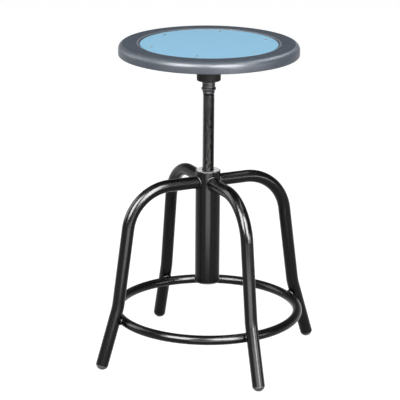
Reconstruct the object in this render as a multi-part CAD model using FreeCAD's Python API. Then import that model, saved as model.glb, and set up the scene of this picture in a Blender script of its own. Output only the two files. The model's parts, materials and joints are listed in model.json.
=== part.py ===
import FreeCAD, Part
import math
import os

# Screw-lift swivel stool, in millimetres.
# Z points up. The origin lies on the floor, under the column's axis.
# The four legs stand on the diagonals between the X and Y axes.

V = FreeCAD.Vector
ORIGIN = V(0, 0, 0)
UP = V(0, 0, 1)

# Column and the pieces fixed in it
column_radius = 25.0
column_wall = 2.0
column_foot_height = 158.3
column_length = 233.7
plug_flange = 2.5
plug_depth = 7.7
plug_chamfer = 1.2
bush_flange = 1.0
bush_flange_radius = 24.0
bush_chamfer = 0.5
bush_depth = 10.5
nut_length = 28.0
nut_chamfer = 1.5

# Legs: each is one bent tube, given here from the column outwards
leg_radius = 12.5
leg_wall = 1.5
leg_drop = 23.0
leg_reach = 85.0
leg_bend_radius = 92.0
leg_splay = 8.0
kink_height = 128.4
kink_radius = 100.0
shin_splay = 16.9
leg_sides = ("front_right", "back_right", "back_left", "front_left")

# Feet
foot_flange = 1.0
foot_flange_radius = 12.3
dome_radius = 12.0
dome_height = 8.6
foot_stem = 14.0

# Foot ring, welded to the inner side of the legs
ring_height = 96.2
ring_tube_radius = 9.5
ring_wall = 1.5
ring_weld_depth = 0.3

# Lifting spindle: a right-hand screw with six turns to the inch
screw_radius = 12.0
screw_length = 203.5
screw_chamfer = 1.5
shoulder_radius = 12.2
shoulder_length = 7.0
shoulder_taper = 1.0
shank_radius = 10.0
rest_lift = 164.6
journal_radius = 8.0
bolt_radius = 5.0
bolt_length = 25.0
bolt_hole_spare = 3.0
bolt_head_width = 17.0
bolt_head_height = 5.5

# Pieces carried on the spindle
collar_radius = 14.9
collar_height = 6.1
collar_bulge = 1.6
sleeve_radius = 13.0
sleeve_length = 13.7
guide_thickness = 7.0
guide_chamfer = 1.0
stop_washer_radius = 15.0
stop_washer_thickness = 2.5

# Hub and mounting plate under the seat
hub_radius = 24.0
hub_wall = 3.0
hub_floor = 6.0
hub_height = 64.7
hub_edge_radius = 1.5
hub_nut_width = 30.0
hub_nut_height = 16.0
hub_washer_radius = 18.5
hub_washer_thickness = 3.0
shank_spare = 4.0
plate_size = 140.0
plate_thickness = 5.0
plate_corner_radius = 15.0
gusset_reach = 34.0
gusset_height = 42.0
gusset_thickness = 5.0
gusset_toe = 6.0
stud_radius = 4.0
stud_spacing = 108.0
stud_spare = 4.0
stud_nut_width = 13.0
stud_nut_height = 6.5

# Seat: a pressed steel pan with a round panel let into it
pan_radius = 180.0
pan_height = 23.0
pan_sheet = 1.5
pan_edge_radius = 11.0
rim_width = 43.0
hem_width = 5.0
hem_height = 8.0
hem_chamfer = 1.6
recess_depth = 4.4
recess_slope = 1.9
recess_shoulder = 0.9
insert_thickness = 3.0
insert_gap = 1.5
insert_chamfer = 0.6

# Clearances between round faces
fixed_gap = 0.3
weld_gap = 0.15
guide_gap = 0.3
thread_gap = 0.3
bush_gap = 0.4
journal_gap = 0.15
hole_gap = 0.3
end_play = 0.3

# Heights and radii worked out from the sizes above
column_top = column_foot_height + column_length
column_bore = column_radius - column_wall
fixed_radius = column_bore - fixed_gap
leg_height = column_top - leg_drop
leg_bore = leg_radius - leg_wall
bush_top = column_top + bush_flange
nut_top = column_top - bush_depth
nut_foot = nut_top - nut_length
collar_foot = bush_top + rest_lift
collar_top = collar_foot + collar_height
screw_top = collar_foot - shoulder_length
screw_foot = screw_top - screw_length
guide_top = screw_foot - end_play
guide_foot = guide_top - guide_thickness
journal_foot = guide_foot - end_play
stop_washer_foot = journal_foot - stop_washer_thickness
shank_hole = shank_radius + hole_gap
hub_foot = collar_top + sleeve_length
hub_seat = hub_foot + hub_floor
hub_nut_foot = hub_seat + hub_washer_thickness
spindle_top = hub_nut_foot + hub_nut_height + shank_spare
hub_top = hub_foot + hub_height
plate_top = hub_top + plate_thickness
recess_floor = plate_top + pan_sheet
seat_top = recess_floor + recess_depth
insert_radius = pan_radius - rim_width
insert_top = recess_floor + insert_thickness
dome_sphere = (dome_radius ** 2 + dome_height ** 2) / (2 * dome_height)


# Edges through (x, z) or (x, z, radius) corners in the XZ plane, with each radius as an arc
def corner_edges(corners, closed):
    points = [V(corner[0], 0, corner[1]) for corner in corners]
    count = len(points)
    stops = []
    for i, point in enumerate(points):
        at_end = not closed and i in (0, count - 1)
        if at_end or len(corners[i]) < 3:
            stops.append((point, None, point))
            continue
        radius = corners[i][2]
        back = (points[i - 1] - point).normalize()
        ahead = (points[(i + 1) % count] - point).normalize()
        half = back.getAngle(ahead) / 2
        run = radius / math.tan(half)
        middle = (back + ahead).normalize() * (radius / math.sin(half) - radius)
        stops.append((point + back * run, point + middle, point + ahead * run))
    edges = []
    for i, (start, middle, end) in enumerate(stops):
        if middle is not None:
            edges.append(Part.Arc(start, middle, end).toShape())
        if closed or i < count - 1:
            edges.append(Part.LineSegment(end, stops[(i + 1) % count][0]).toShape())
    return edges


# A solid of revolution about Z from a closed profile
def turned(corners):
    return Part.Face(Part.Wire(corner_edges(corners, True))).revolve(ORIGIN, UP, 360)


# The other side of a sheet whose first side follows the path, with its thickness to the right
def sheet_underside(path, sheet):
    sides = []
    for start, end in zip(path, path[1:]):
        along = V(end[0] - start[0], 0, end[1] - start[1]).normalize()
        right = V(along.z, 0, -along.x) * sheet
        sides.append((V(start[0], 0, start[1]) + right, V(end[0], 0, end[1]) + right, along))
    corners = [(sides[0][0].x, sides[0][0].z)]
    for bend, before, after in zip(path[1:], sides, sides[1:]):
        turn = before[2].x * after[2].z - before[2].z * after[2].x
        gap = after[0] - before[0]
        step = (gap.x * after[2].z - gap.z * after[2].x) / turn
        corner = before[0] + before[2] * step
        rounded = (bend[2] + math.copysign(sheet, turn),) if len(bend) > 2 else ()
        corners.append((corner.x, corner.z) + rounded)
    corners.append((sides[-1][1].x, sides[-1][1].z))
    return corners


# A tube's cut end, as a flat ring about the axis
def tube_end(centre, axis):
    rim = Part.Face(Part.Wire(Part.Circle(centre, axis, leg_radius).toShape()))
    bore = Part.Face(Part.Wire(Part.Circle(centre, axis, leg_bore).toShape()))
    return rim.cut(bore)


# A hexagonal prism about Z
def hexagon(width, foot, height):
    reach = width / math.sqrt(3)
    angles = [math.pi / 3 * i for i in range(7)]
    corners = [V(reach * math.cos(angle), reach * math.sin(angle), foot) for angle in angles]
    return Part.Face(Part.makePolygon(corners)).extrude(UP * height)


# A cylinder about Z, or about another upright axis
def rod(radius, foot, height, place=ORIGIN):
    return Part.makeCylinder(radius, height, place + UP * foot)


# A copy of the shape, turned about Z
def around(shape, azimuth):
    copy = shape.copy()
    copy.rotate(ORIGIN, UP, azimuth)
    return copy


# Column: a round tube, with a plug below and the screw's nut and bush above
def column_tube():
    outer = rod(column_radius, column_foot_height, column_length)
    return outer.cut(rod(column_bore, column_foot_height, column_length))


def column_plug():
    low = column_foot_height - plug_flange
    top = column_foot_height + plug_depth
    return turned([
        (0, low), (column_radius - plug_chamfer, low), (column_radius, low + plug_chamfer),
        (column_radius, column_foot_height), (fixed_radius, column_foot_height),
        (fixed_radius, top - plug_chamfer), (fixed_radius - plug_chamfer, top), (0, top),
    ])


def spindle_nut():
    bore = screw_radius + thread_gap
    return turned([
        (bore + nut_chamfer, nut_foot), (fixed_radius - nut_chamfer, nut_foot),
        (fixed_radius, nut_foot + nut_chamfer), (fixed_radius, nut_top),
        (bore, nut_top), (bore, nut_foot + nut_chamfer),
    ])


def top_bush():
    bore = screw_radius + bush_gap
    return turned([
        (bore, nut_top), (fixed_radius, nut_top), (fixed_radius, column_top),
        (bush_flange_radius, column_top), (bush_flange_radius, bush_top - bush_chamfer),
        (bush_flange_radius - bush_chamfer, bush_top), (bore + bush_chamfer, bush_top),
        (bore, bush_top - bush_chamfer),
    ])


# Height of a leg tube's lower end, where the dome under it just meets the floor
def tube_end_height():
    rise = dome_sphere - dome_height - foot_flange
    return dome_sphere - rise * math.cos(math.radians(shin_splay))


# Distance from the column's axis to the shin's centreline at a height
def shin_reach(height):
    splay = math.radians(leg_splay)
    bend_end = V(leg_reach + leg_bend_radius * math.cos(splay), 0,
                 leg_height - leg_bend_radius + leg_bend_radius * math.sin(splay))
    kink = bend_end.x + (bend_end.z - kink_height) * math.tan(splay)
    return kink + (kink_height - height) * math.tan(math.radians(shin_splay))


# One leg in the XZ plane, with the centre and direction of its lower end
def leg_and_end():
    splay = math.radians(leg_splay)
    shin = math.radians(shin_splay)
    start = V(0, 0, leg_height)
    reach = V(leg_reach, 0, leg_height)
    arm = tube_end(start, V(1, 0, 0)).extrude(reach - start)

    bend_centre = reach - UP * leg_bend_radius
    bend = tube_end(reach, V(1, 0, 0)).revolve(bend_centre, V(0, 1, 0), 90 - leg_splay)

    outward = V(math.cos(splay), 0, math.sin(splay))
    down = V(math.sin(splay), 0, -math.cos(splay))
    bend_end = bend_centre + outward * leg_bend_radius
    kink_run = kink_radius * math.tan((shin - splay) / 2)
    thigh_run = (bend_end.z - kink_height) / math.cos(splay) - kink_run
    thigh = tube_end(bend_end, down).extrude(down * thigh_run)

    kink_start = bend_end + down * thigh_run
    kink_centre = kink_start + outward * kink_radius
    kink = tube_end(kink_start, down).revolve(kink_centre, V(0, -1, 0), shin_splay - leg_splay)

    shin_down = V(math.sin(shin), 0, -math.cos(shin))
    kink_end = kink_centre - V(math.cos(shin), 0, math.sin(shin)) * kink_radius
    shin_run = (kink_end.z - tube_end_height()) / math.cos(shin)
    lower = tube_end(kink_end, shin_down).extrude(shin_down * shin_run)

    leg = arm.fuse([bend, thigh, kink, lower]).removeSplitter()
    cope = rod(column_radius + weld_gap, leg_height - 2 * leg_radius, 4 * leg_radius)
    return leg.cut(cope), kink_end + shin_down * shin_run, shin_down


# A moulded foot: a stem in the tube, a thin flange and a dome on the floor
def foot(end, down):
    low = -foot_flange - dome_height
    half_angle = math.asin(dome_radius / dome_sphere) / 2
    middle = V(dome_sphere * math.sin(half_angle), 0,
               low + dome_sphere - dome_sphere * math.cos(half_angle))
    dome = Part.Arc(V(0, 0, low), middle, V(dome_radius, 0, -foot_flange)).toShape()
    stem_radius = leg_bore - fixed_gap
    rest = corner_edges([
        (dome_radius, -foot_flange), (foot_flange_radius, -foot_flange), (foot_flange_radius, 0),
        (stem_radius, 0), (stem_radius, foot_stem), (0, foot_stem), (0, low),
    ], False)
    solid = Part.Face(Part.Wire([dome] + rest)).revolve(ORIGIN, UP, 360)
    solid.Placement = FreeCAD.Placement(end, FreeCAD.Rotation(UP, down * -1))
    return solid


# Foot ring: a tube bent round and closed on itself, touching the inner side of each shin
def foot_ring():
    lean = math.cos(math.radians(shin_splay))
    offset = (leg_radius + ring_tube_radius - ring_weld_depth) / lean
    ring_radius = shin_reach(ring_height) - offset
    centre = V(0, 0, ring_height)
    outside = Part.makeTorus(ring_radius, ring_tube_radius, centre)
    return outside.cut(Part.makeTorus(ring_radius, ring_tube_radius - ring_wall, centre))


# Spindle: screw, shoulder and shank, with a journal and a tapped hole at its lower end
def spindle():
    body = turned([
        (0, journal_foot), (journal_radius, journal_foot), (journal_radius, screw_foot),
        (screw_radius - screw_chamfer, screw_foot), (screw_radius, screw_foot + screw_chamfer),
        (screw_radius, screw_top), (shoulder_radius, screw_top + shoulder_taper),
        (shoulder_radius, collar_foot), (shank_radius, collar_foot),
        (shank_radius, spindle_top - screw_chamfer), (shank_radius - screw_chamfer, spindle_top),
        (0, spindle_top),
    ])
    return body.cut(rod(bolt_radius + hole_gap, journal_foot, bolt_length + bolt_hole_spare))


def stop_collar():
    inner = collar_radius - collar_bulge
    bulge = Part.Arc(V(inner, 0, collar_foot), V(collar_radius, 0, collar_foot + collar_height / 2),
                     V(inner, 0, collar_top)).toShape()
    rest = corner_edges([
        (inner, collar_top), (shank_hole, collar_top), (shank_hole, collar_foot), (inner, collar_foot),
    ], False)
    return Part.Face(Part.Wire([bulge] + rest)).revolve(ORIGIN, UP, 360)


def neck_sleeve():
    return rod(sleeve_radius, collar_top, sleeve_length).cut(rod(shank_hole, collar_top, sleeve_length))


def guide_washer():
    bore = journal_radius + journal_gap
    outer = column_bore - guide_gap
    return turned([
        (bore, guide_foot), (outer - guide_chamfer, guide_foot), (outer, guide_foot + guide_chamfer),
        (outer, guide_top - guide_chamfer), (outer - guide_chamfer, guide_top), (bore, guide_top),
    ])


def stop_washer():
    hole = rod(bolt_radius + hole_gap, stop_washer_foot, stop_washer_thickness)
    return rod(stop_washer_radius, stop_washer_foot, stop_washer_thickness).cut(hole)


def stop_bolt():
    head = hexagon(bolt_head_width, stop_washer_foot - bolt_head_height, bolt_head_height)
    return head.fuse(rod(bolt_radius, stop_washer_foot, bolt_length + stop_washer_thickness))


# Hub: a stout cup whose floor the shank's nut clamps against the sleeve
def hub():
    bore = hub_radius - hub_wall
    return turned([
        (shank_hole, hub_foot), (hub_radius, hub_foot, hub_edge_radius), (hub_radius, hub_top),
        (bore, hub_top), (bore, hub_seat), (shank_hole, hub_seat),
    ])


def hub_washer():
    washer = rod(hub_washer_radius, hub_seat, hub_washer_thickness)
    return washer.cut(rod(shank_hole, hub_seat, hub_washer_thickness))


def hub_nut():
    nut = hexagon(hub_nut_width, hub_nut_foot, hub_nut_height)
    return nut.cut(rod(shank_hole, hub_nut_foot, hub_nut_height))


# Mounting plate on four studs, with ribs down to the hub
def stud_places():
    half = stud_spacing / 2
    return [V(x, y, 0) for x in (-half, half) for y in (-half, half)]


def mounting_plate():
    half = plate_size / 2
    plate = Part.makeBox(plate_size, plate_size, plate_thickness, V(-half, -half, hub_top))
    corners = [edge for edge in plate.Edges if edge.BoundBox.ZLength > plate_thickness / 2]
    plate = plate.makeFillet(plate_corner_radius, corners)
    holes = [rod(stud_radius + hole_gap, hub_top, plate_thickness, place) for place in stud_places()]
    return plate.cut(holes)


def plate_studs():
    length = plate_thickness + stud_nut_height + stud_spare
    return Part.makeCompound([rod(stud_radius, plate_top - length, length, place)
                              for place in stud_places()])


def plate_nuts():
    foot_z = hub_top - stud_nut_height
    nut = hexagon(stud_nut_width, foot_z, stud_nut_height)
    nut = nut.cut(rod(stud_radius + hole_gap, foot_z, stud_nut_height))
    return Part.makeCompound([nut.translated(place) for place in stud_places()])


# A rib between the hub and the plate, on the +X side
def gusset():
    tip = hub_radius + gusset_reach
    low = hub_top - gusset_height
    outline = Part.makePolygon([
        V(0, 0, hub_top), V(tip, 0, hub_top), V(tip, 0, hub_top - gusset_toe),
        V(hub_radius + gusset_toe, 0, low), V(0, 0, low), V(0, 0, hub_top),
    ])
    rib = Part.Face(outline).extrude(V(0, gusset_thickness, 0))
    rib.translate(V(0, -gusset_thickness / 2, 0))
    return rib.cut(rod(hub_radius + weld_gap, low, gusset_height))


# Seat pan: a recessed floor, a flat rim, a rounded edge, a skirt and a hem turned inwards
def seat_pan():
    floor_radius = insert_radius + insert_gap
    foot_z = seat_top - pan_height
    hem_line = pan_radius - hem_width
    top = [
        (0, recess_floor), (floor_radius, recess_floor),
        (floor_radius + recess_slope, seat_top - recess_shoulder),
        (floor_radius + recess_slope + 2 * recess_shoulder, seat_top),
        (pan_radius, seat_top, pan_edge_radius),
        (pan_radius, foot_z + hem_chamfer), (pan_radius - hem_chamfer, foot_z),
        (hem_line + hem_chamfer, foot_z), (hem_line, foot_z + hem_chamfer),
        (hem_line, foot_z + hem_height),
    ]
    underside = sheet_underside(top, pan_sheet)
    edges = corner_edges(top, False) + corner_edges([top[-1]] + underside[::-1] + [top[0]], False)
    return Part.Face(Part.Wire(edges)).revolve(ORIGIN, UP, 360)


def seat_insert():
    return turned([
        (0, recess_floor), (insert_radius, recess_floor), (insert_radius, insert_top - insert_chamfer),
        (insert_radius - insert_chamfer, insert_top), (0, insert_top),
    ])


makers = (column_tube, column_plug, spindle_nut, top_bush, foot_ring, spindle, stop_collar,
          neck_sleeve, guide_washer, stop_washer, stop_bolt, hub, hub_washer, hub_nut,
          mounting_plate, plate_studs, plate_nuts, seat_pan, seat_insert)
parts = {maker.__name__: maker() for maker in makers}

leg, leg_end, leg_down = leg_and_end()
leg_foot = foot(leg_end, leg_down)
for i, side in enumerate(leg_sides):
    azimuth = 90 * i - 45
    parts["leg_" + side] = around(leg, azimuth)
    parts["foot_" + side] = around(leg_foot, azimuth)

rib = gusset()
for side, azimuth in (("right", 0), ("back", 90), ("left", 180), ("front", 270)):
    parts["hub_gusset_" + side] = around(rib, azimuth)

os.makedirs("parts", exist_ok=True)
for name, shape in parts.items():
    shape.exportStep("parts/" + name + ".step")
    print(name, "solids", len(shape.Solids), "valid", shape.isValid(), "volume", round(shape.Volume))
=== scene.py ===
import bpy
import bmesh
import json
from math import ceil, cos, pi, radians, sin, tan
from mathutils import Matrix, Vector


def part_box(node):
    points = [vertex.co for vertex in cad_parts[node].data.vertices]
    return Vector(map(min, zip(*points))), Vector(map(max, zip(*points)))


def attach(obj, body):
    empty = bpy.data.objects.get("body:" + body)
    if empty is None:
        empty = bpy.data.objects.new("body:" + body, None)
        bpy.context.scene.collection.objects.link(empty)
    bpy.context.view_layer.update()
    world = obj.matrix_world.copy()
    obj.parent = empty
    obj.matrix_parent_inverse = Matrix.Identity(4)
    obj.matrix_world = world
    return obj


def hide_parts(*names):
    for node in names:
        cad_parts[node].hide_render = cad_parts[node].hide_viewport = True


# A swivel stool with a lifting screw, in metres. Z is up, the floor is at 0 and the column stands on Z.

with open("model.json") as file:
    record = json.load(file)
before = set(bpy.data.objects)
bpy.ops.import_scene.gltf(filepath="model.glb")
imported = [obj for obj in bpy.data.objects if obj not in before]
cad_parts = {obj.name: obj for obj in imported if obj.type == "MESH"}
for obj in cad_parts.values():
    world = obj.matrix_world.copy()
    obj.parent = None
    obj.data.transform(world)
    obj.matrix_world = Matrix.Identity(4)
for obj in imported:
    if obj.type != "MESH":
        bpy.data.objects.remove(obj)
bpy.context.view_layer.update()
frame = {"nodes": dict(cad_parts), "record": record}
nodes = frame["nodes"]
print("frame loaded")


# Node trees

def addNode(tree, kind, inputs=None, **settings):
    node = tree.nodes.new(kind)
    for key, value in settings.items():
        setattr(node, key, value)
    for key, value in (inputs or {}).items():
        if isinstance(value, bpy.types.NodeSocket):
            tree.links.new(value, node.inputs[key])
        else:
            node.inputs[key].default_value = value
    return node


def calc(tree, operation, *values, clamp=False):
    node = addNode(tree, "ShaderNodeMath", dict(enumerate(values)), operation=operation, use_clamp=clamp)
    return node.outputs[0]


def remap(tree, value, low, high, newLow=0.0, newHigh=1.0, blend="LINEAR"):
    names = {"Value": value, "From Min": low, "From Max": high, "To Min": newLow, "To Max": newHigh}
    return addNode(tree, "ShaderNodeMapRange", names, interpolation_type=blend).outputs["Result"]


def combine(tree, x, y, z):
    return addNode(tree, "ShaderNodeCombineXYZ", {0: x, 1: y, 2: z}).outputs[0]


def split(tree, vector):
    return addNode(tree, "ShaderNodeSeparateXYZ", {0: vector}).outputs


def groupTree(name, kind, inputs, outputs):
    tree = bpy.data.node_groups.new(name, kind)
    for label, (socketType, value) in inputs.items():
        socket = tree.interface.new_socket(label, in_out="INPUT", socket_type=socketType)
        if value is not None:
            socket.default_value = value
    for label, socketType in outputs.items():
        tree.interface.new_socket(label, in_out="OUTPUT", socket_type=socketType)
    given = tree.nodes.new("NodeGroupInput").outputs
    taken = tree.nodes.new("NodeGroupOutput").inputs
    return tree, given, taken


# Shared surface effects, as shader groups on Object coordinates

def objectPlace(tree):
    return addNode(tree, "ShaderNodeTexCoord").outputs["Object"]


def noise(tree, scale, detail=2.0, rough=0.5):
    inputs = {"Vector": objectPlace(tree), "Scale": scale, "Detail": detail, "Roughness": rough}
    return addNode(tree, "ShaderNodeTexNoise", inputs).outputs["Fac"]


# How far a surface faces up: 1 when it lies flat
def facingUp(tree):
    return split(tree, addNode(tree, "ShaderNodeNewGeometry").outputs["Normal"])[2]


# A random value for each cell
def cells(tree, scale):
    inputs = {"Vector": objectPlace(tree), "Scale": scale}
    colour = addNode(tree, "ShaderNodeTexVoronoi", inputs).outputs["Color"]
    return addNode(tree, "ShaderNodeSeparateColor", {0: colour}).outputs[0]


cloudLook = {"scale": 9.0, "detail": 4.0, "low": 0.3, "high": 0.7}


# A value that wanders with slow noise, from low to low + spread
def wander(tree, cloud, low, spread):
    return remap(tree, cloud, cloudLook["low"], cloudLook["high"], low, low + spread)


def paintedSkin():
    inputs = {"Ripple Scale": ("NodeSocketFloat", 420.0), "Grain Scale": ("NodeSocketFloat", 2600.0),
              "Grain Share": ("NodeSocketFloat", 0.2)}
    tree, given, taken = groupTree("paintedSkin", "ShaderNodeTree", inputs,
                                   {"Height": "NodeSocketFloat", "Cloud": "NodeSocketFloat"})
    ripple = noise(tree, given["Ripple Scale"], 1.0)
    grain = noise(tree, given["Grain Scale"], 0.0)
    grainPart = calc(tree, "MULTIPLY", grain, given["Grain Share"])
    tree.links.new(calc(tree, "ADD", ripple, grainPart), taken["Height"])
    tree.links.new(noise(tree, cloudLook["scale"], cloudLook["detail"]), taken["Cloud"])
    return tree


dustLook = {"settlesFrom": 0.2, "patchLow": 0.4, "patchHigh": 0.75, "detail": 5.0, "rough": 0.7}


def dustFilm():
    inputs = {"Amount": ("NodeSocketFloat", 0.1), "Scale": ("NodeSocketFloat", 60.0)}
    tree, given, taken = groupTree("dustFilm", "ShaderNodeTree", inputs, {"Mask": "NodeSocketFloat"})
    settled = remap(tree, facingUp(tree), dustLook["settlesFrom"], 1.0)
    patches = noise(tree, given["Scale"], dustLook["detail"], rough=dustLook["rough"])
    patches = remap(tree, patches, dustLook["patchLow"], dustLook["patchHigh"])
    both = calc(tree, "MULTIPLY", settled, patches)
    tree.links.new(calc(tree, "MULTIPLY", both, given["Amount"], clamp=True), taken["Mask"])
    return tree


def turnedMarks():
    inputs = {"Spacing": ("NodeSocketFloat", 0.00035)}
    tree, given, taken = groupTree("turnedMarks", "ShaderNodeTree", inputs, {"Height": "NodeSocketFloat"})
    along = calc(tree, "DIVIDE", split(tree, objectPlace(tree))[2], given["Spacing"])
    rings = addNode(tree, "ShaderNodeTexNoise", {"W": along, "Scale": 1.0, "Detail": 2.0},
                    noise_dimensions="1D").outputs["Fac"]
    tree.links.new(rings, taken["Height"])
    return tree


skinGroup = paintedSkin()
dustGroup = dustFilm()
turnedGroup = turnedMarks()


def useGroup(tree, group, inputs):
    node = tree.nodes.new("ShaderNodeGroup")
    node.node_tree = group
    for key, value in inputs.items():
        node.inputs[key].default_value = value
    return node.outputs


def mixColours(tree, mask, first, second):
    inputs = {0: mask, 6: first, 7: second}
    return addNode(tree, "ShaderNodeMix", inputs, data_type="RGBA").outputs[2]


# A material with its constant values set on the shader's own sockets
def newMaterial(name, values):
    material = bpy.data.materials.new(name)
    material.use_nodes = True
    tree = material.node_tree
    shader = tree.nodes["Principled BSDF"]
    for key, value in values.items():
        shader.inputs[key].default_value = value
    return material, tree, shader


def setBump(tree, shader, height, distance):
    inputs = {"Height": height, "Distance": distance, "Strength": 1.0}
    tree.links.new(addNode(tree, "ShaderNodeBump", inputs).outputs[0], shader.inputs["Normal"])


# Powder coats, moulded plastics and steels

blackCoatLook = {"colour": (0.004, 0.004, 0.0045, 1), "dust": (0.03, 0.029, 0.027, 1), "rough": 0.18,
                 "roughSpread": 0.05, "bump": 0.00005, "specular": 0.12, "ripple": 420.0, "grain": 2600.0,
                 "grainShare": 0.2}

dustAmount = 0.12


def paintMaterial(name, look):
    material, tree, shader = newMaterial(name, {"Specular IOR Level": look["specular"]})
    skin = useGroup(tree, skinGroup, {"Ripple Scale": look["ripple"], "Grain Scale": look["grain"],
                                      "Grain Share": look["grainShare"]})
    dust = useGroup(tree, dustGroup, {"Amount": dustAmount})
    colour = mixColours(tree, dust["Mask"], look["colour"], look["dust"])
    tree.links.new(colour, shader.inputs["Base Color"])
    rough = wander(tree, skin["Cloud"], look["rough"], look["roughSpread"])
    tree.links.new(calc(tree, "ADD", rough, dust["Mask"]), shader.inputs["Roughness"])
    setBump(tree, shader, skin["Height"], look["bump"])
    return material


hubCoatLook = {"colour": (0.003, 0.003, 0.0033, 1), "dust": (0.02, 0.02, 0.02, 1), "rough": 0.55,
               "roughSpread": 0.1, "bump": 0.00012, "specular": 0.08, "ripple": 900.0, "grain": 3500.0,
               "grainShare": 0.8}

greyCoatLook = {"light": (0.115, 0.138, 0.17, 1), "dark": (0.078, 0.092, 0.116, 1), "rough": 0.4,
                "roughSpread": 0.06, "gloss": 1.23, "glossFrom": 0.995, "glossFull": 0.93, "flake": 2400.0,
                "sparkle": 0.3, "ripple": 380.0, "grainShare": 0.3, "bump": 0.00005,
                # the lip entries below set the painted highlight along the lip round the panel
                "dust": (0.3, 0.3, 0.29, 1), "lipHighlightColour": (0.42, 0.43, 0.45, 1), "lipHighlightRadius": 0.1422,
                "lipHighlightWidth": 0.001, "lipHighlightLeast": 0.4, "lipHighlightLow": 0.3, "lipHighlightHigh": 0.6}


# Painted highlight: a lighter ring painted along the lip round the panel, where the lip would catch the
# light, in patches that vary at random
def paintedLipHighlight(tree, look, cloud):
    place = split(tree, objectPlace(tree))
    squares = [calc(tree, "POWER", place[i], 2.0) for i in (0, 1)]
    radius = calc(tree, "SQRT", calc(tree, "ADD", *squares))
    offLip = calc(tree, "ABSOLUTE", calc(tree, "SUBTRACT", radius, look["lipHighlightRadius"]))
    patches = remap(tree, cloud, look["lipHighlightLow"], look["lipHighlightHigh"], look["lipHighlightLeast"], 1.0)
    return calc(tree, "MULTIPLY", remap(tree, offLip, look["lipHighlightWidth"], 0.0), patches)


# The gloss is left off where the seat lies flat, so that its colour holds from every side
def greyCoatMaterial():
    look = greyCoatLook
    material, tree, shader = newMaterial("greyCoat", {"Specular IOR Level": 0.0, "Coat IOR": look["gloss"],
                                                      "Coat Roughness": look["rough"]})
    skin = useGroup(tree, skinGroup, {"Ripple Scale": look["ripple"], "Grain Share": look["grainShare"]})
    dust = useGroup(tree, dustGroup, {"Amount": dustAmount})
    sparkle = calc(tree, "MULTIPLY", cells(tree, look["flake"]),
                   calc(tree, "ADD", skin["Cloud"], look["sparkle"]))
    colour = mixColours(tree, sparkle, look["dark"], look["light"])
    colour = mixColours(tree, dust["Mask"], colour, look["dust"])
    # the lighter ring along the lip, mixed in here, is a painted highlight
    colour = mixColours(tree, paintedLipHighlight(tree, look, skin["Cloud"]), colour, look["lipHighlightColour"])
    tree.links.new(colour, shader.inputs["Base Color"])
    gloss = remap(tree, facingUp(tree), look["glossFrom"], look["glossFull"])
    tree.links.new(gloss, shader.inputs["Coat Weight"])
    rough = wander(tree, skin["Cloud"], look["rough"], look["roughSpread"])
    tree.links.new(calc(tree, "ADD", rough, dust["Mask"]), shader.inputs["Roughness"])
    setBump(tree, shader, skin["Height"], look["bump"])
    return material


panelLook = {"colour": (0.32, 0.61, 0.83, 1), "pale": (0.355, 0.645, 0.865, 1), "rough": 0.42,
             "roughSpread": 0.1, "cloud": 22.0, "cloudDetail": 5.0, "cloudRough": 0.65, "cloudShare": 0.6,
             "speck": 700.0, "speckLow": 0.35, "speckHigh": 0.75, "speckShare": 0.3, "pebble": 950.0,
             "bump": 0.00008}


def panelMaterial():
    look = panelLook
    material, tree, shader = newMaterial("bluePanel", {"Specular IOR Level": 0.0})
    inputs = {"Vector": objectPlace(tree), "Scale": look["pebble"]}
    pebbles = addNode(tree, "ShaderNodeTexVoronoi", inputs, feature="SMOOTH_F1").outputs["Distance"]
    cloud = noise(tree, look["cloud"], look["cloudDetail"], rough=look["cloudRough"])
    speck = remap(tree, noise(tree, look["speck"], 1.0), look["speckLow"], look["speckHigh"])
    mask = calc(tree, "ADD", calc(tree, "MULTIPLY", cloud, look["cloudShare"]),
                calc(tree, "MULTIPLY", speck, look["speckShare"]))
    tree.links.new(mixColours(tree, mask, look["colour"], look["pale"]), shader.inputs["Base Color"])
    tree.links.new(wander(tree, cloud, look["rough"], look["roughSpread"]), shader.inputs["Roughness"])
    setBump(tree, shader, pebbles, look["bump"])
    return material


plasticLook = {"ripple": 180.0, "grain": 3200.0, "grainShare": 0.6, "dustAmount": 0.3, "dustScale": 140.0,
               "stainLow": 0.45, "stainHigh": 0.75, "stainShare": 0.5, "roughSpread": 0.1, "bump": 0.00006,
               "filmRough": 0.08, "filmGloss": 1.8}

nylonLook = {"colour": (0.14, 0.14, 0.135, 1), "stain": (0.09, 0.09, 0.085, 1), "rough": 0.38,
             "specular": 0.4, "film": 1.0}
footLook = {"colour": (0.082, 0.083, 0.088, 1), "stain": (0.118, 0.116, 0.112, 1), "rough": 0.5,
            "specular": 0.2, "film": 0.0}
plugLook = {"colour": (0.012, 0.012, 0.013, 1), "stain": (0.03, 0.03, 0.03, 1), "rough": 0.45,
            "specular": 0.4, "film": 0.0}


# Moulded plastic, with stains of a second colour and, where film is 1, a film of grease
def plasticMaterial(name, own):
    look = plasticLook | own
    material, tree, shader = newMaterial(name, {
        "Specular IOR Level": look["specular"], "Coat Weight": look["film"],
        "Coat Roughness": look["filmRough"], "Coat IOR": look["filmGloss"]})
    skin = useGroup(tree, skinGroup, {"Ripple Scale": look["ripple"], "Grain Scale": look["grain"],
                                      "Grain Share": look["grainShare"]})
    dust = useGroup(tree, dustGroup, {"Amount": look["dustAmount"], "Scale": look["dustScale"]})
    stains = remap(tree, skin["Cloud"], look["stainLow"], look["stainHigh"], 0.0, look["stainShare"])
    mask = calc(tree, "ADD", dust["Mask"], stains, clamp=True)
    tree.links.new(mixColours(tree, mask, look["colour"], look["stain"]), shader.inputs["Base Color"])
    rough = wander(tree, skin["Cloud"], look["rough"], look["roughSpread"])
    tree.links.new(rough, shader.inputs["Roughness"])
    setBump(tree, shader, skin["Height"], look["bump"])
    return material


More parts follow.
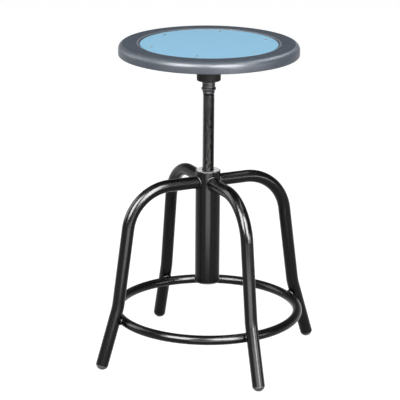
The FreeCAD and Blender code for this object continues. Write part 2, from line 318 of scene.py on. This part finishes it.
oiledSteelLook = {"steel": (0.021, 0.021, 0.0225, 1), "oil": (0.0075, 0.0073, 0.0068, 1), "metal": 0.7,
                  "specular": 0.2, "oilTop": 0.575, "oilFoot": 0.55, "smear": 45.0, "smearHeight": 0.06,
                  "stain": 160.0, "stainRough": 0.7, "stainLow": 0.35, "stainHigh": 0.8,
                  "stainShare": 0.35, "detail": 4.0, "dryRough": 0.15, "oiledRough": 0.12,
                  "turning": 0.0003, "bump": 0.0002}


def oiledSteelMaterial():
    look = oiledSteelLook
    material, tree, shader = newMaterial("oiledSteel", {"Metallic": look["metal"],
                                                        "Specular IOR Level": look["specular"]})
    smear = calc(tree, "MULTIPLY", noise(tree, look["smear"], look["detail"]), look["smearHeight"])
    height = calc(tree, "ADD", split(tree, objectPlace(tree))[2], smear)
    oiled = remap(tree, height, look["oilTop"], look["oilFoot"])
    stains = noise(tree, look["stain"], look["detail"], rough=look["stainRough"])
    stains = remap(tree, stains, look["stainLow"], look["stainHigh"], 0.0, look["stainShare"])
    mask = calc(tree, "ADD", oiled, stains, clamp=True)
    tree.links.new(mixColours(tree, mask, look["steel"], look["oil"]), shader.inputs["Base Color"])
    rough = remap(tree, mask, 0.0, 1.0, look["dryRough"], look["oiledRough"])
    tree.links.new(rough, shader.inputs["Roughness"])
    marks = useGroup(tree, turnedGroup, {"Spacing": look["turning"]})
    setBump(tree, shader, marks["Height"], look["bump"])
    return material


plainSteelLook = {"bright": (0.5, 0.5, 0.51, 1), "dull": (0.36, 0.35, 0.33, 1), "crystal": 1500.0,
                  "cloud": 90.0, "detail": 4.0, "rough": 0.25, "roughSpread": 0.17, "bump": 0.00001}


def plainSteelMaterial():
    look = plainSteelLook
    material, tree, shader = newMaterial("plainSteel", {"Metallic": 1.0})
    crystal, cloud = cells(tree, look["crystal"]), noise(tree, look["cloud"], look["detail"])
    mask = calc(tree, "MULTIPLY", crystal, cloud)
    tree.links.new(mixColours(tree, mask, look["bright"], look["dull"]), shader.inputs["Base Color"])
    tree.links.new(wander(tree, cloud, look["rough"], look["roughSpread"]), shader.inputs["Roughness"])
    setBump(tree, shader, crystal, look["bump"])
    return material


rivetLook = {"colour": (0.05, 0.055, 0.062, 1), "dust": (0.12, 0.12, 0.12, 1), "rough": 0.35,
             "roughSpread": 0.1, "bump": 0.00002, "specular": 0.5, "ripple": 420.0, "grain": 2600.0,
             "grainShare": 0.2}


blackCoat = paintMaterial("blackCoat", blackCoatLook)
hubCoat = paintMaterial("hubCoat", hubCoatLook)
greyCoat = greyCoatMaterial()
bluePanel = panelMaterial()
whiteNylon = plasticMaterial("whiteNylon", nylonLook)
greyPlastic = plasticMaterial("greyPlastic", footLook)
blackPlastic = plasticMaterial("blackPlastic", plugLook)
oiledSteel = oiledSteelMaterial()
plainSteel = plainSteelMaterial()
rivetSteel = paintMaterial("rivetSteel", rivetLook)
print("materials made")

slotMaterials = {"black_coat": blackCoat, "grey_coat": greyCoat, "blue_panel": bluePanel,
                 "white_nylon": whiteNylon, "grey_plastic": greyPlastic, "black_plastic": blackPlastic,
                 "oiled_steel": oiledSteel, "plain_steel": plainSteel}
for entry in frame["record"]["subparts"]:
    for holder in nodes[entry["node"]].material_slots:
        holder.material = slotMaterials[entry["material_slot"]]
nodes["hub"].material_slots[0].material = hubCoat


# Mesh helpers

mergeDistance = 2e-6
softAngle = 32.0  # degrees, above which an edge stays sharp
leastMitreCosine = 0.5  # a sharp turn stretches a sheet's thickness at most twofold


def newObject(name, mesh, material):
    piece = bpy.data.objects.new(name, mesh)
    bpy.context.scene.collection.objects.link(piece)
    mesh.materials.clear()
    mesh.materials.append(material)
    return piece


# Places the piece on its body and hides the node that it stands for, if one is given
def seatPiece(piece, body, node=None):
    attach(piece, body)
    if node:
        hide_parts(node)
    return piece


# Points of a profile whose (radius, height, round) corners become arcs
def roundedPath(corners, steps=8):
    points = []
    for i, corner in enumerate(corners):
        here = Vector(corner[:2])
        if len(corner) < 3 or i in (0, len(corners) - 1):
            points.append(here)
            continue
        back = (Vector(corners[i - 1][:2]) - here).normalized()
        ahead = (Vector(corners[i + 1][:2]) - here).normalized()
        half = back.angle(ahead) / 2
        run = corner[2] / tan(half)
        centre = here + (back + ahead).normalized() * corner[2] / sin(half)
        start = here + back * run - centre
        turn = pi - 2 * half
        side = 1 if back.cross(ahead) < 0 else -1
        for k in range(steps + 1):
            points.append(centre + Matrix.Rotation(side * turn * k / steps, 2) @ start)
    return points


def latheMesh(name, profile, sides):
    shape = bmesh.new()
    addLathe(shape, profile, sides)
    return finishMesh(name, shape)


def addLathe(shape, profile, sides):
    rings = []
    for radius, height in profile:
        if radius < mergeDistance:
            rings.append([shape.verts.new((0, 0, height))])
            continue
        angles = [2 * pi * i / sides for i in range(sides)]
        rings.append([shape.verts.new((radius * cos(a), radius * sin(a), height)) for a in angles])
    for lower, upper in zip(rings, rings[1:]):
        for i in range(sides):
            j = i + 1
            corners = [ring[k % len(ring)] for ring, k in ((lower, i), (lower, j), (upper, j), (upper, i))]
            corners = list(dict.fromkeys(corners))
            if len(corners) > 2:
                shape.faces.new(corners)


def finishMesh(name, shape, sharpAngle=softAngle):
    bmesh.ops.remove_doubles(shape, verts=shape.verts, dist=mergeDistance)
    bmesh.ops.recalc_face_normals(shape, faces=shape.faces)
    mesh = bpy.data.meshes.new(name)
    shape.to_mesh(mesh)
    shape.free()
    mesh.shade_smooth()
    mesh.set_sharp_from_angle(angle=radians(sharpAngle))
    return mesh


# Runs a geometry tree on an empty mesh and returns its result as a plain mesh
def grownMesh(name, tree, values):
    carrier = bpy.data.objects.new(name + "Carrier", bpy.data.meshes.new(name))
    bpy.context.scene.collection.objects.link(carrier)
    modifier = carrier.modifiers.new("grow", "NODES")
    modifier.node_group = tree
    for socket in tree.interface.items_tree:
        if socket.in_out == "INPUT":
            modifier[socket.identifier] = values[socket.name]
    depsgraph = bpy.context.evaluated_depsgraph_get()
    mesh = bpy.data.meshes.new_from_object(carrier.evaluated_get(depsgraph), depsgraph=depsgraph)
    carrier.modifiers.remove(modifier)
    bpy.data.objects.remove(carrier)
    mesh.name = name
    return mesh


def cleanedMesh(name, mesh, sharpAngle=softAngle):
    shape = bmesh.new()
    shape.from_mesh(mesh)
    return finishMesh(name, shape, sharpAngle)


floatSocket, wholeSocket = "NodeSocketFloat", "NodeSocketInt"
closing = {"Geometry": "NodeSocketGeometry"}


def closeTree(tree, geometry, material, taken):
    realized = addNode(tree, "GeometryNodeRealizeInstances", {0: geometry}).outputs[0]
    finished = addNode(tree, "GeometryNodeSetMaterial", {"Geometry": realized, "Material": material})
    tree.links.new(finished.outputs[0], taken["Geometry"])


# Lifting screw: a grid wound round Z, whose rows follow the helix and rise and fall as the thread does
def threadTree():
    inputs = {"Crest Radius": (floatSocket, 0.012), "Root Radius": (floatSocket, 0.01),
              "Pitch": (floatSocket, 0.004), "Foot": (floatSocket, 0.0), "Top": (floatSocket, 0.1),
              "Run Out": (floatSocket, 0.002), "Crest Share": (floatSocket, 0.25),
              "Root Share": (floatSocket, 0.25), "Turns": (wholeSocket, 10), "Sides": (wholeSocket, 48),
              "Rows": (wholeSocket, 8), "Material": ("NodeSocketMaterial", None)}
    tree, given, taken = groupTree("screwThread", "GeometryNodeTree", inputs, closing)
    across = calc(tree, "ADD", given["Sides"], 1.0)
    rows = calc(tree, "ADD", calc(tree, "MULTIPLY", given["Turns"], given["Rows"]), 1.0)
    grid = addNode(tree, "GeometryNodeMeshGrid",
                   {"Size X": 1.0, "Size Y": 1.0, "Vertices X": across, "Vertices Y": rows})
    place = split(tree, addNode(tree, "GeometryNodeInputPosition").outputs[0])
    share = calc(tree, "ADD", place[0], 0.5)
    climbed = calc(tree, "MULTIPLY", calc(tree, "ADD", place[1], 0.5), given["Turns"])
    turnsUp = calc(tree, "SUBTRACT", calc(tree, "ADD", climbed, share), 1.0)
    rise = calc(tree, "ADD", given["Foot"], calc(tree, "MULTIPLY", turnsUp, given["Pitch"]))
    height = calc(tree, "MINIMUM", calc(tree, "MAXIMUM", rise, given["Foot"]), given["Top"])
    aboveFoot = calc(tree, "SUBTRACT", height, given["Foot"])
    turned = calc(tree, "SUBTRACT", calc(tree, "DIVIDE", aboveFoot, given["Pitch"]), share)
    phase = calc(tree, "FRACT", turned)
    wave = calc(tree, "MULTIPLY", calc(tree, "ABSOLUTE", calc(tree, "SUBTRACT", phase, 0.5)), 2.0)
    ridge = remap(tree, wave, given["Root Share"], calc(tree, "SUBTRACT", 1.0, given["Crest Share"]),
                  blend="SMOOTHSTEP")
    below = calc(tree, "DIVIDE", aboveFoot, given["Run Out"])
    above = calc(tree, "DIVIDE", calc(tree, "SUBTRACT", given["Top"], height), given["Run Out"])
    fade = calc(tree, "MINIMUM", below, above, clamp=True)
    depth = calc(tree, "SUBTRACT", given["Crest Radius"], given["Root Radius"])
    grown = calc(tree, "MULTIPLY", calc(tree, "MINIMUM", ridge, fade), depth)
    radius = calc(tree, "ADD", given["Root Radius"], grown)
    angle = calc(tree, "MULTIPLY", share, 2 * pi)
    target = combine(tree, calc(tree, "MULTIPLY", radius, calc(tree, "COSINE", angle)),
                     calc(tree, "MULTIPLY", radius, calc(tree, "SINE", angle)), height)
    wound = addNode(tree, "GeometryNodeSetPosition", {"Geometry": grid.outputs["Mesh"], "Position": target})
    closeTree(tree, wound.outputs[0], given["Material"], taken)
    return tree


screwTree = threadTree()

spindleSizes = {"pitch": 0.0254 / 6, "rootDepth": 0.0024, "runOut": 0.0025, "shoulder": 0.007,
                "shoulderTaper": 0.001, "shoulderGrowth": 0.0002, "shankRadius": 0.010,
                "journalRadius": 0.008, "endPlay": 0.0003, "chamfer": 0.0015, "crestShare": 0.12,
                "rootShare": 0.12, "sides": 48, "rows": 12, "sharpAngle": 50.0}


def spindlePiece():
    sizes = spindleSizes
    low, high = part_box("spindle")
    shoulderRadius = high.x
    crest = shoulderRadius - sizes["shoulderGrowth"]
    root = crest - sizes["rootDepth"]
    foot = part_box("guide_washer")[1].z + sizes["endPlay"]
    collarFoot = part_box("stop_collar")[0].z
    top = collarFoot - sizes["shoulder"]
    turns = ceil((top - foot) / sizes["pitch"]) + 1
    values = {"Crest Radius": crest, "Root Radius": root, "Pitch": sizes["pitch"], "Foot": foot, "Top": top,
              "Run Out": sizes["runOut"], "Crest Share": sizes["crestShare"],
              "Root Share": sizes["rootShare"], "Turns": turns, "Sides": sizes["sides"],
              "Rows": sizes["rows"], "Material": oiledSteel}
    shape = bmesh.new()
    shape.from_mesh(grownMesh("screw", screwTree, values))
    journal, shank, chamfer = sizes["journalRadius"], sizes["shankRadius"], sizes["chamfer"]
    addLathe(shape, [(0, low.z), (journal, low.z), (journal, foot), (root, foot)], sizes["sides"])
    addLathe(shape, [(root, top), (shoulderRadius, top + sizes["shoulderTaper"]),
                     (shoulderRadius, collarFoot), (shank, collarFoot), (shank, high.z - chamfer),
                     (shank - chamfer, high.z), (0, high.z)], sizes["sides"])
    mesh = finishMesh("threadedSpindle", shape, sizes["sharpAngle"])
    return seatPiece(newObject("threadedSpindle", mesh, oiledSteel), "seat", "spindle")


spindlePiece()
print("spindle threaded")


# Seat pan: the pressed sheet, with its real rounds

panSizes = {"sheet": 0.0015, "edgeRound": 0.011, "hemWidth": 0.005, "hemHeight": 0.008, "hemRound": 0.0018,
            "panelGap": 0.0015, "slope": 0.0019, "lipRound": 0.0022, "floorRound": 0.0012, "lipRun": 0.0009,
            "sides": 160, "steps": 8}


def panPiece():
    sizes = panSizes
    low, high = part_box("seat_pan")
    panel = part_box("seat_insert")
    floor, floorRadius = panel[0].z, panel[1].x + sizes["panelGap"]
    lip = floorRadius + sizes["slope"] + sizes["lipRun"]
    hemLine = high.x - sizes["hemWidth"]
    top = roundedPath([
        (0, floor), (floorRadius, floor, sizes["floorRound"]), (lip, high.z, sizes["lipRound"]),
        (high.x, high.z, sizes["edgeRound"]), (high.x, low.z, sizes["hemRound"]),
        (hemLine, low.z, sizes["hemRound"]), (hemLine, low.z + sizes["hemHeight"]),
    ], sizes["steps"])
    under = offsetPath(top, sizes["sheet"])
    mesh = latheMesh("seatPan", top + under[::-1], sizes["sides"])
    return seatPiece(newObject("seatPan", mesh, greyCoat), "seat", "seat_pan")


# The far side of a sheet that follows the path with its thickness to the right
def offsetPath(path, sheet):
    moved = []
    for i, point in enumerate(path):
        before = (point - path[i - 1]).normalized() if i else None
        after = (path[i + 1] - point).normalized() if i < len(path) - 1 else before
        before = before or after
        along = (before + after).normalized()
        stretch = sheet / max(along.dot(before), leastMitreCosine)
        shifted = point + Vector((along.y, -along.x)) * stretch
        moved.append(Vector((max(shifted.x, 0.0), shifted.y)))
    moved[0].x = 0.0
    return moved


panPiece()
print("seat pan pressed")


# Rivets: domed heads on the panel and set ends under the pan

domeSides, domeRows = 20, 12


def rivetTree():
    inputs = {"Count": (wholeSocket, 6), "Circle Radius": (floatSocket, 0.1),
              "First Angle": (floatSocket, 0.0), "Head Radius": (floatSocket, 0.003),
              "Head Height": (floatSocket, 0.001), "Head Level": (floatSocket, 0.0),
              "Tail Radius": (floatSocket, 0.003), "Tail Height": (floatSocket, 0.002),
              "Tail Level": (floatSocket, -0.01), "Material": ("NodeSocketMaterial", None)}
    tree, given, taken = groupTree("rivets", "GeometryNodeTree", inputs, closing)

    def dome(radius, height, level, side):
        ball = addNode(tree, "GeometryNodeMeshUVSphere",
                       {"Segments": domeSides, "Rings": domeRows, "Radius": 1.0})
        place = split(tree, addNode(tree, "GeometryNodeInputPosition").outputs[0])
        lift = calc(tree, "MULTIPLY", calc(tree, "MAXIMUM", place[2], 0.0), height)
        level = calc(tree, "ADD", level, calc(tree, "MULTIPLY", lift, side))
        target = combine(tree, calc(tree, "MULTIPLY", place[0], radius),
                         calc(tree, "MULTIPLY", place[1], radius), level)
        return addNode(tree, "GeometryNodeSetPosition", {"Geometry": ball.outputs[0], "Position": target})

    head = dome(given["Head Radius"], given["Head Height"], given["Head Level"], 1.0)
    tail = dome(given["Tail Radius"], given["Tail Height"], given["Tail Level"], -1.0)
    both = addNode(tree, "GeometryNodeJoinGeometry")
    for part in (head, tail):
        tree.links.new(part.outputs[0], both.inputs[0])
    circle = addNode(tree, "GeometryNodeMeshCircle",
                     {"Vertices": given["Count"], "Radius": given["Circle Radius"]})
    turn = combine(tree, 0.0, 0.0, given["First Angle"])
    turned = addNode(tree, "GeometryNodeTransform", {"Geometry": circle.outputs[0], "Rotation": turn})
    placed = addNode(tree, "GeometryNodeInstanceOnPoints",
                     {"Points": turned.outputs[0], "Instance": both.outputs[0]})
    closeTree(tree, placed.outputs[0], given["Material"], taken)
    return tree


rivetSizes = {"count": 6, "circle": 0.119, "firstAngle": radians(38), "headRadius": 0.0031,
              "headHeight": 0.00105, "tailRadius": 0.0032, "tailHeight": 0.0018}


def rivetPiece():
    sizes = rivetSizes
    panelFoot, panelTop = (corner.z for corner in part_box("seat_insert"))
    values = {"Count": sizes["count"], "Circle Radius": sizes["circle"], "First Angle": sizes["firstAngle"],
              "Head Radius": sizes["headRadius"], "Head Height": sizes["headHeight"], "Head Level": panelTop,
              "Tail Radius": sizes["tailRadius"], "Tail Height": sizes["tailHeight"],
              "Tail Level": panelFoot - panSizes["sheet"], "Material": rivetSteel}
    mesh = cleanedMesh("panelRivets", grownMesh("rivets", rivetTree(), values))
    return seatPiece(newObject("panelRivets", mesh, rivetSteel), "seat")


rivetPiece()
print("rivets set")


# Weld beads: a faintly rippled bead round a saddle-shaped seam, once for each leg

beadSides = 12


def weldTree():
    inputs = {"Seam Width": (floatSocket, 0.012), "Seam Height": (floatSocket, 0.012),
              "Reach": (floatSocket, 0.025), "Side Sag": (floatSocket, 0.003), "End Sag": (floatSocket, 0.0),
              "Lean": (floatSocket, 0.0), "Level": (floatSocket, 0.37), "Bead Radius": (floatSocket, 0.002),
              "Ripples": (wholeSocket, 40), "Ripple Depth": (floatSocket, 0.2), "Steps": (wholeSocket, 160),
              "First Angle": (floatSocket, pi / 4), "Count": (wholeSocket, 4),
              "Material": ("NodeSocketMaterial", None)}
    tree, given, taken = groupTree("weldBeads", "GeometryNodeTree", inputs, closing)
    circle = addNode(tree, "GeometryNodeCurvePrimitiveCircle", {"Resolution": given["Steps"], "Radius": 1.0})
    step = addNode(tree, "GeometryNodeInputIndex").outputs[0]
    share = calc(tree, "DIVIDE", step, given["Steps"])
    angle = calc(tree, "MULTIPLY", share, 2 * pi)
    sideways, upwards = calc(tree, "COSINE", angle), calc(tree, "SINE", angle)
    sag = calc(tree, "ADD",
               calc(tree, "MULTIPLY", calc(tree, "MULTIPLY", sideways, sideways), given["Side Sag"]),
               calc(tree, "MULTIPLY", calc(tree, "MULTIPLY", upwards, upwards), given["End Sag"]))
    across = calc(tree, "MULTIPLY", sideways, given["Seam Width"])
    along = calc(tree, "MULTIPLY", upwards, given["Seam Height"])
    lean = given["Lean"]
    leanCos, leanSin = calc(tree, "COSINE", lean), calc(tree, "SINE", lean)
    outward = calc(tree, "SUBTRACT", calc(tree, "MULTIPLY", sag, leanCos),
                   calc(tree, "MULTIPLY", along, leanSin))
    rise = calc(tree, "ADD", calc(tree, "MULTIPLY", sag, leanSin), calc(tree, "MULTIPLY", along, leanCos))
    seam = combine(tree, calc(tree, "ADD", given["Reach"], outward), across,
                   calc(tree, "ADD", given["Level"], rise))
    bent = addNode(tree, "GeometryNodeSetPosition", {"Geometry": circle.outputs[0], "Position": seam})
    beat = calc(tree, "MULTIPLY", calc(tree, "MULTIPLY", share, given["Ripples"]), pi)
    wave = calc(tree, "ABSOLUTE", calc(tree, "SINE", beat))
    swell = calc(tree, "ADD", 1.0, calc(tree, "MULTIPLY", wave, given["Ripple Depth"]))
    section = addNode(tree, "GeometryNodeCurvePrimitiveCircle",
                      {"Resolution": beadSides, "Radius": given["Bead Radius"]})
    bead = addNode(tree, "GeometryNodeCurveToMesh",
                   {"Curve": bent.outputs[0], "Profile Curve": section.outputs[0], "Scale": swell})
    spot = addNode(tree, "GeometryNodePoints", {"Count": given["Count"]})
    order = addNode(tree, "GeometryNodeInputIndex").outputs[0]
    quarter = calc(tree, "DIVIDE", calc(tree, "MULTIPLY", order, 2 * pi), given["Count"])
    facing = combine(tree, 0.0, 0.0, calc(tree, "ADD", quarter, given["First Angle"]))
    placed = addNode(tree, "GeometryNodeInstanceOnPoints",
                     {"Points": spot.outputs[0], "Instance": bead.outputs[0], "Rotation": facing})
    closeTree(tree, placed.outputs[0], given["Material"], taken)
    return tree


beadTree = weldTree()

legSizes = {"radius": 0.0125, "level": 0.369, "shinSplay": radians(16.9), "ringRadius": 0.1859,
            "ringTube": 0.0095, "ringLevel": 0.0962, "firstAngle": pi / 4, "count": 4}

weldSharpAngle = 60.0


# One bead for each leg, from the values that differ between the seams
def weldPiece(name, values):
    values = {"Level": legSizes["level"], "End Sag": 0.0, "Lean": 0.0, "First Angle": legSizes["firstAngle"],
              "Count": legSizes["count"], "Material": blackCoat} | values
    mesh = cleanedMesh(name, grownMesh(name, beadTree, values), weldSharpAngle)
    return seatPiece(newObject(name, mesh, blackCoat), "base")


armWeldSizes = {"bead": 0.0021, "standOff": 0.35, "ripples": 34, "rippleDepth": 0.08, "steps": 170}


# Where each arm meets the column
def armWelds():
    sizes = armWeldSizes
    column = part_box("column_tube")[1].x
    half = legSizes["radius"] + sizes["bead"] * sizes["standOff"]
    reach = column + sizes["bead"] * sizes["standOff"]
    sag = -(reach - (reach ** 2 - half ** 2) ** 0.5)
    return weldPiece("armWelds", {
        "Seam Width": half, "Seam Height": half, "Reach": reach, "Side Sag": sag,
        "Bead Radius": sizes["bead"], "Ripples": sizes["ripples"], "Ripple Depth": sizes["rippleDepth"],
        "Steps": sizes["steps"]})


ringWeldSizes = {"bead": 0.0021, "width": 0.0085, "height": 0.0072, "sunk": 0.00015, "ripples": 18,
                 "rippleDepth": 0.09, "steps": 108}


# Where the foot ring meets each shin
def ringWelds():
    sizes = ringWeldSizes
    contact = legSizes["ringTube"] - sizes["sunk"]
    lean = legSizes["shinSplay"]
    sideSag = sizes["width"] ** 2 / (4 * legSizes["radius"])
    endSag = -sizes["height"] ** 2 / (4 * legSizes["ringTube"])
    return weldPiece("ringWelds", {
        "Seam Width": sizes["width"], "Seam Height": sizes["height"],
        "Reach": legSizes["ringRadius"] + contact * cos(lean), "Side Sag": sideSag, "End Sag": endSag,
        "Lean": lean, "Level": legSizes["ringLevel"] + contact * sin(lean), "Bead Radius": sizes["bead"],
        "Ripples": sizes["ripples"], "Ripple Depth": sizes["rippleDepth"], "Steps": sizes["steps"]})


armWelds()
ringWelds()
print("seams welded")


# Camera, at the photograph's place

cameraPlace = {"azimuth": radians(19.206), "distance": 3.738, "height": 1.4542, "aside": -0.01576,
               "pitch": radians(16.761), "roll": radians(0.41), "focalPixels": 1928.1, "framePixels": 400,
               "sensor": 36.0, "nearest": 0.05, "furthest": 60.0}


def placeCamera():
    place = cameraPlace
    data = bpy.data.cameras.new("photoCamera")
    data.sensor_width = place["sensor"]
    data.lens = place["focalPixels"] * place["sensor"] / place["framePixels"]
    data.clip_start, data.clip_end = place["nearest"], place["furthest"]
    turn = Matrix.Rotation(place["azimuth"], 3, "Z")
    ahead = turn @ Vector((0, cos(place["pitch"]), -sin(place["pitch"])))
    right = turn @ Vector((1, 0, 0))
    up = right.cross(ahead)
    tilt = Matrix.Rotation(-place["roll"], 3, ahead)
    right, up = tilt @ right, tilt @ up
    camera = bpy.data.objects.new("photoCamera", data)
    pose = Matrix((right, up, -ahead)).transposed().to_4x4()
    pose.translation = turn @ Vector((place["aside"], -place["distance"], place["height"]))
    camera.matrix_world = pose
    bpy.context.scene.collection.objects.link(camera)
    bpy.context.scene.camera = camera


placeCamera()


# Studio: a plain floor, a world that is bright at the horizon, a top lamp and two tall softboxes, each
# placed by its angles from the camera's side. The lamps marked shine are seen only in reflections, so that
# they draw the highlights while the colours keep their level.

worldLight = {"colour": (1.0, 1.0, 1.0, 1), "horizon": 0.85, "above": 0.17, "fadeFrom": 0.03, "fadeTo": 0.3}
floorLook = {"colour": (0.25, 0.25, 0.25, 1), "rough": 0.9, "specular": 0.1, "glow": 0.9, "half": 14.0}
lamps = {
    "topLamp": {"azimuth": 0, "elevation": 88, "distance": 3.0, "size": (3.0, 3.0), "radiance": 1.2},
    "leftLamp": {"azimuth": -36, "elevation": 36, "distance": 3.5, "size": (1.8, 2.9), "radiance": 2.0},
    "rightLamp": {"azimuth": 24, "elevation": 35, "distance": 3.5, "size": (2.0, 2.9), "radiance": 2.7},
    "leftShine": {"azimuth": -36, "elevation": 34, "distance": 3.48, "size": (1.8, 2.6), "radiance": 88.0,
                  "shine": True},
    "rightShine": {"azimuth": 22, "elevation": 33, "distance": 3.48, "size": (1.8, 2.5),
                   "radiance": 92.0, "shine": True},
    "lowShine": {"azimuth": 6, "elevation": -15.5, "distance": 0.75, "size": (0.6, 0.19), "radiance": 10.0,
                 "shine": True},
    "frontShine": {"azimuth": 32, "elevation": 8.5, "distance": 3.0, "size": (0.8, 0.6), "radiance": 85.0,
                   "shine": True},
    "legShine": {"azimuth": 10, "elevation": -8.5, "distance": 1.25, "size": (1.3, 0.12), "radiance": 10.0,
                 "shine": True},
    "rightLow": {"azimuth": 62, "elevation": 5, "distance": 2.5, "size": (0.75, 0.5), "radiance": 28.0,
                 "shine": True},
    "rimStrip": {"azimuth": 75, "elevation": 65.2, "distance": 0.606, "size": (0.4, 0.1), "radiance": 20.0,
                 "shine": True},
    "leftEdge": {"azimuth": -105, "elevation": 25, "distance": 3.5, "size": (1.8, 2.4), "radiance": 12.0,
                 "shine": True},
    "bushShine": {"azimuth": 180, "elevation": 20.7, "distance": 1.07, "size": (0.11, 0.1), "radiance": 1.6,
                  "shine": True},
}
lampTarget = Vector((0, 0, 0.3))


def addLamp(name, lamp):
    data = bpy.data.lights.new(name, "AREA")
    data.shape = "RECTANGLE"
    data.size, data.size_y = lamp["size"]
    data.energy = lamp["radiance"] * pi * data.size * data.size_y
    around, rise = radians(lamp["azimuth"]) + cameraPlace["azimuth"], radians(lamp["elevation"])
    back = Vector((sin(around) * cos(rise), -cos(around) * cos(rise), sin(rise)))
    light = bpy.data.objects.new(name, data)
    light.location = lampTarget + back * lamp["distance"]
    light.rotation_euler = back.to_track_quat("Z", "Y").to_euler()
    light.visible_camera = False
    light.visible_diffuse = not lamp.get("shine", False)
    bpy.context.scene.collection.objects.link(light)


# The floor's glow is there for the camera and for reflections, and leaves its shadows
def floorMaterial():
    look = floorLook
    material, tree, shader = newMaterial("studioFloor", {
        "Base Color": look["colour"], "Roughness": look["rough"], "Specular IOR Level": look["specular"],
        "Emission Strength": look["glow"]})
    path = addNode(tree, "ShaderNodeLightPath").outputs
    seen = calc(tree, "ADD", path["Is Camera Ray"], path["Is Glossy Ray"])
    seen = calc(tree, "ADD", seen, path["Is Transmission Ray"], clamp=True)
    tree.links.new(mixColours(tree, seen, (0, 0, 0, 1), (1, 1, 1, 1)), shader.inputs["Emission Color"])
    return material


def buildStudio():
    look = worldLight
    world = bpy.data.worlds.new("studio")
    world.use_nodes = True
    tree = world.node_tree
    background = tree.nodes["Background"]
    background.inputs["Color"].default_value = look["colour"]
    direction = addNode(tree, "ShaderNodeTexCoord").outputs["Generated"]
    strength = remap(tree, split(tree, direction)[2], look["fadeFrom"], look["fadeTo"], look["horizon"],
                     look["above"])
    tree.links.new(strength, background.inputs["Strength"])
    bpy.context.scene.world = world
    half = floorLook["half"]
    mesh = bpy.data.meshes.new("studioFloor")
    corners = [(-half, -half, 0), (half, -half, 0), (half, half, 0), (-half, half, 0)]
    mesh.from_pydata(corners, [], [(0, 1, 2, 3)])
    floor = newObject("studioFloor", mesh, floorMaterial())
    for name, lamp in lamps.items():
        addLamp(name, lamp)
    bpy.context.scene.view_settings.view_transform = "Standard"


buildStudio()
print("studio lit")
